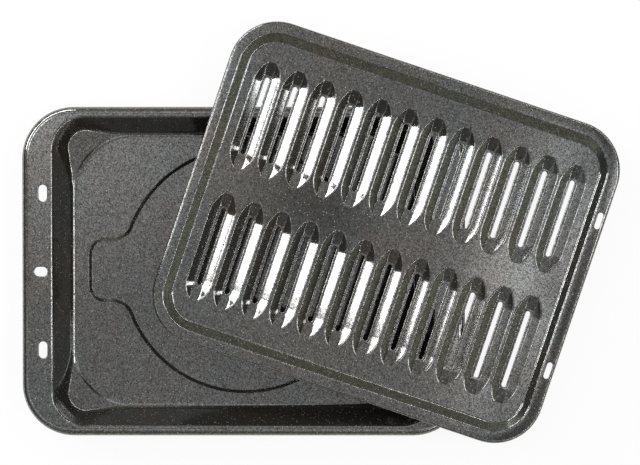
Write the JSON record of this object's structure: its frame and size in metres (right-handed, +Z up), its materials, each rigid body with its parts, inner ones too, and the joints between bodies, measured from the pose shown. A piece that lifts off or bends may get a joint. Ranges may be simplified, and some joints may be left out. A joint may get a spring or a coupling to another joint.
{
  "type": "broiler pan",
  "caption": "Pressed enamelled steel broiler pan with sloped walls and end flanges, and a slotted tray-shaped grid lying askew across its rim.",
  "frame": {"origin": "middle of the drip pan's underside, where the shallow well in its floor stands on the table", "axes": "+X along the pan towards the end that the grid overhangs, +Y across the pan, +Z up"},
  "size_m": [0.5854, 0.4112, 0.0544],
  "materials": {
    "pan_enamel": "speckled dark grey porcelain enamel, glossy",
    "grid_enamel": "speckled dark grey porcelain enamel, glossy"
  },
  "bodies": {
    "root": {"drip_pan": "pan_enamel", "broiling_grid": "grid_enamel"}
  },
  "joints": []
}
